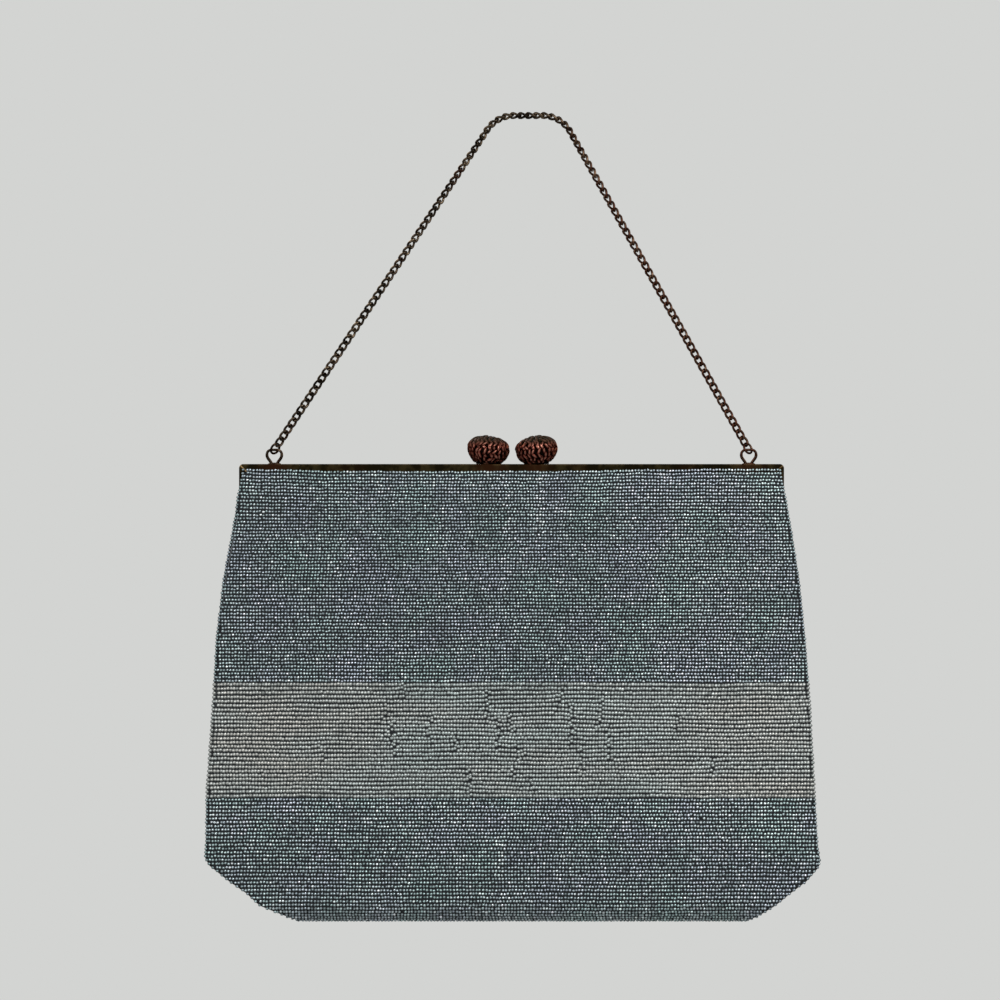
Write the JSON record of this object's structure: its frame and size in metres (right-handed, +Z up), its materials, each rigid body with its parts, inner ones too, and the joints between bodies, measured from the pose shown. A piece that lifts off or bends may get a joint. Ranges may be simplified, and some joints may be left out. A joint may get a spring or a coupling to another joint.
{
  "type": "kiss lock frame purse",
  "caption": "Beaded evening purse on a hinged brass channel frame with a ball-knob kiss lock, pleated gussets, a cloth lining and a curb chain handle.",
  "frame": {"origin": "middle of the underside of the chain's top run, where the handle is held", "axes": "+X to the right across the frame, +Y from the front to the rear, +Z up; the purse hangs shut below the origin"},
  "size_m": [0.229, 0.029, 0.3016],
  "materials": {
    "frame_brass": "satin",
    "knob_copper": "satin",
    "chain_brass": "satin",
    "steel_beads": "satin",
    "gusset_cloth": "matte",
    "stiffening": "matte",
    "lining_satin": "satin"
  },
  "bodies": {
    "handle": {"left_jump_ring": "chain_brass", "right_jump_ring": "chain_brass", "handle_chain_left": "chain_brass", "handle_chain_top": "chain_brass", "handle_chain_right": "chain_brass"},
    "bag": {"rear_frame": "frame_brass", "left_hinge_rivet": "frame_brass", "right_hinge_rivet": "frame_brass", "rear_knob": "knob_copper", "rear_knob_post": "knob_copper", "left_chain_eye": "chain_brass", "right_chain_eye": "chain_brass", "front_panel": "steel_beads", "front_panel_fold": "steel_beads", "rear_panel": "steel_beads", "rear_packing_cord": "gusset_cloth", "left_gusset": "gusset_cloth", "right_gusset": "gusset_cloth", "base_strip": "gusset_cloth", "front_card": "stiffening", "rear_card": "stiffening", "lining": "lining_satin"},
    "front_half": {"front_frame": "frame_brass", "front_knob": "knob_copper", "front_knob_post": "knob_copper", "front_packing_cord": "gusset_cloth", "front_panel_upper": "steel_beads"}
  },
  "joints": [
    {"name": "handle_swing", "type": "hinge", "parent": "handle", "child": "bag", "pos_m": [-0.0065, 0, -0.12319], "axis": [1, 0, 0], "range_deg": [-90, 90]},
    {"name": "frame_open", "type": "hinge", "parent": "bag", "child": "front_half", "pos_m": [-0.0065, 0, -0.14199], "axis": [1, 0, 0], "range_deg": [0, 90], "deforming": ["front_panel_fold"]}
  ]
}
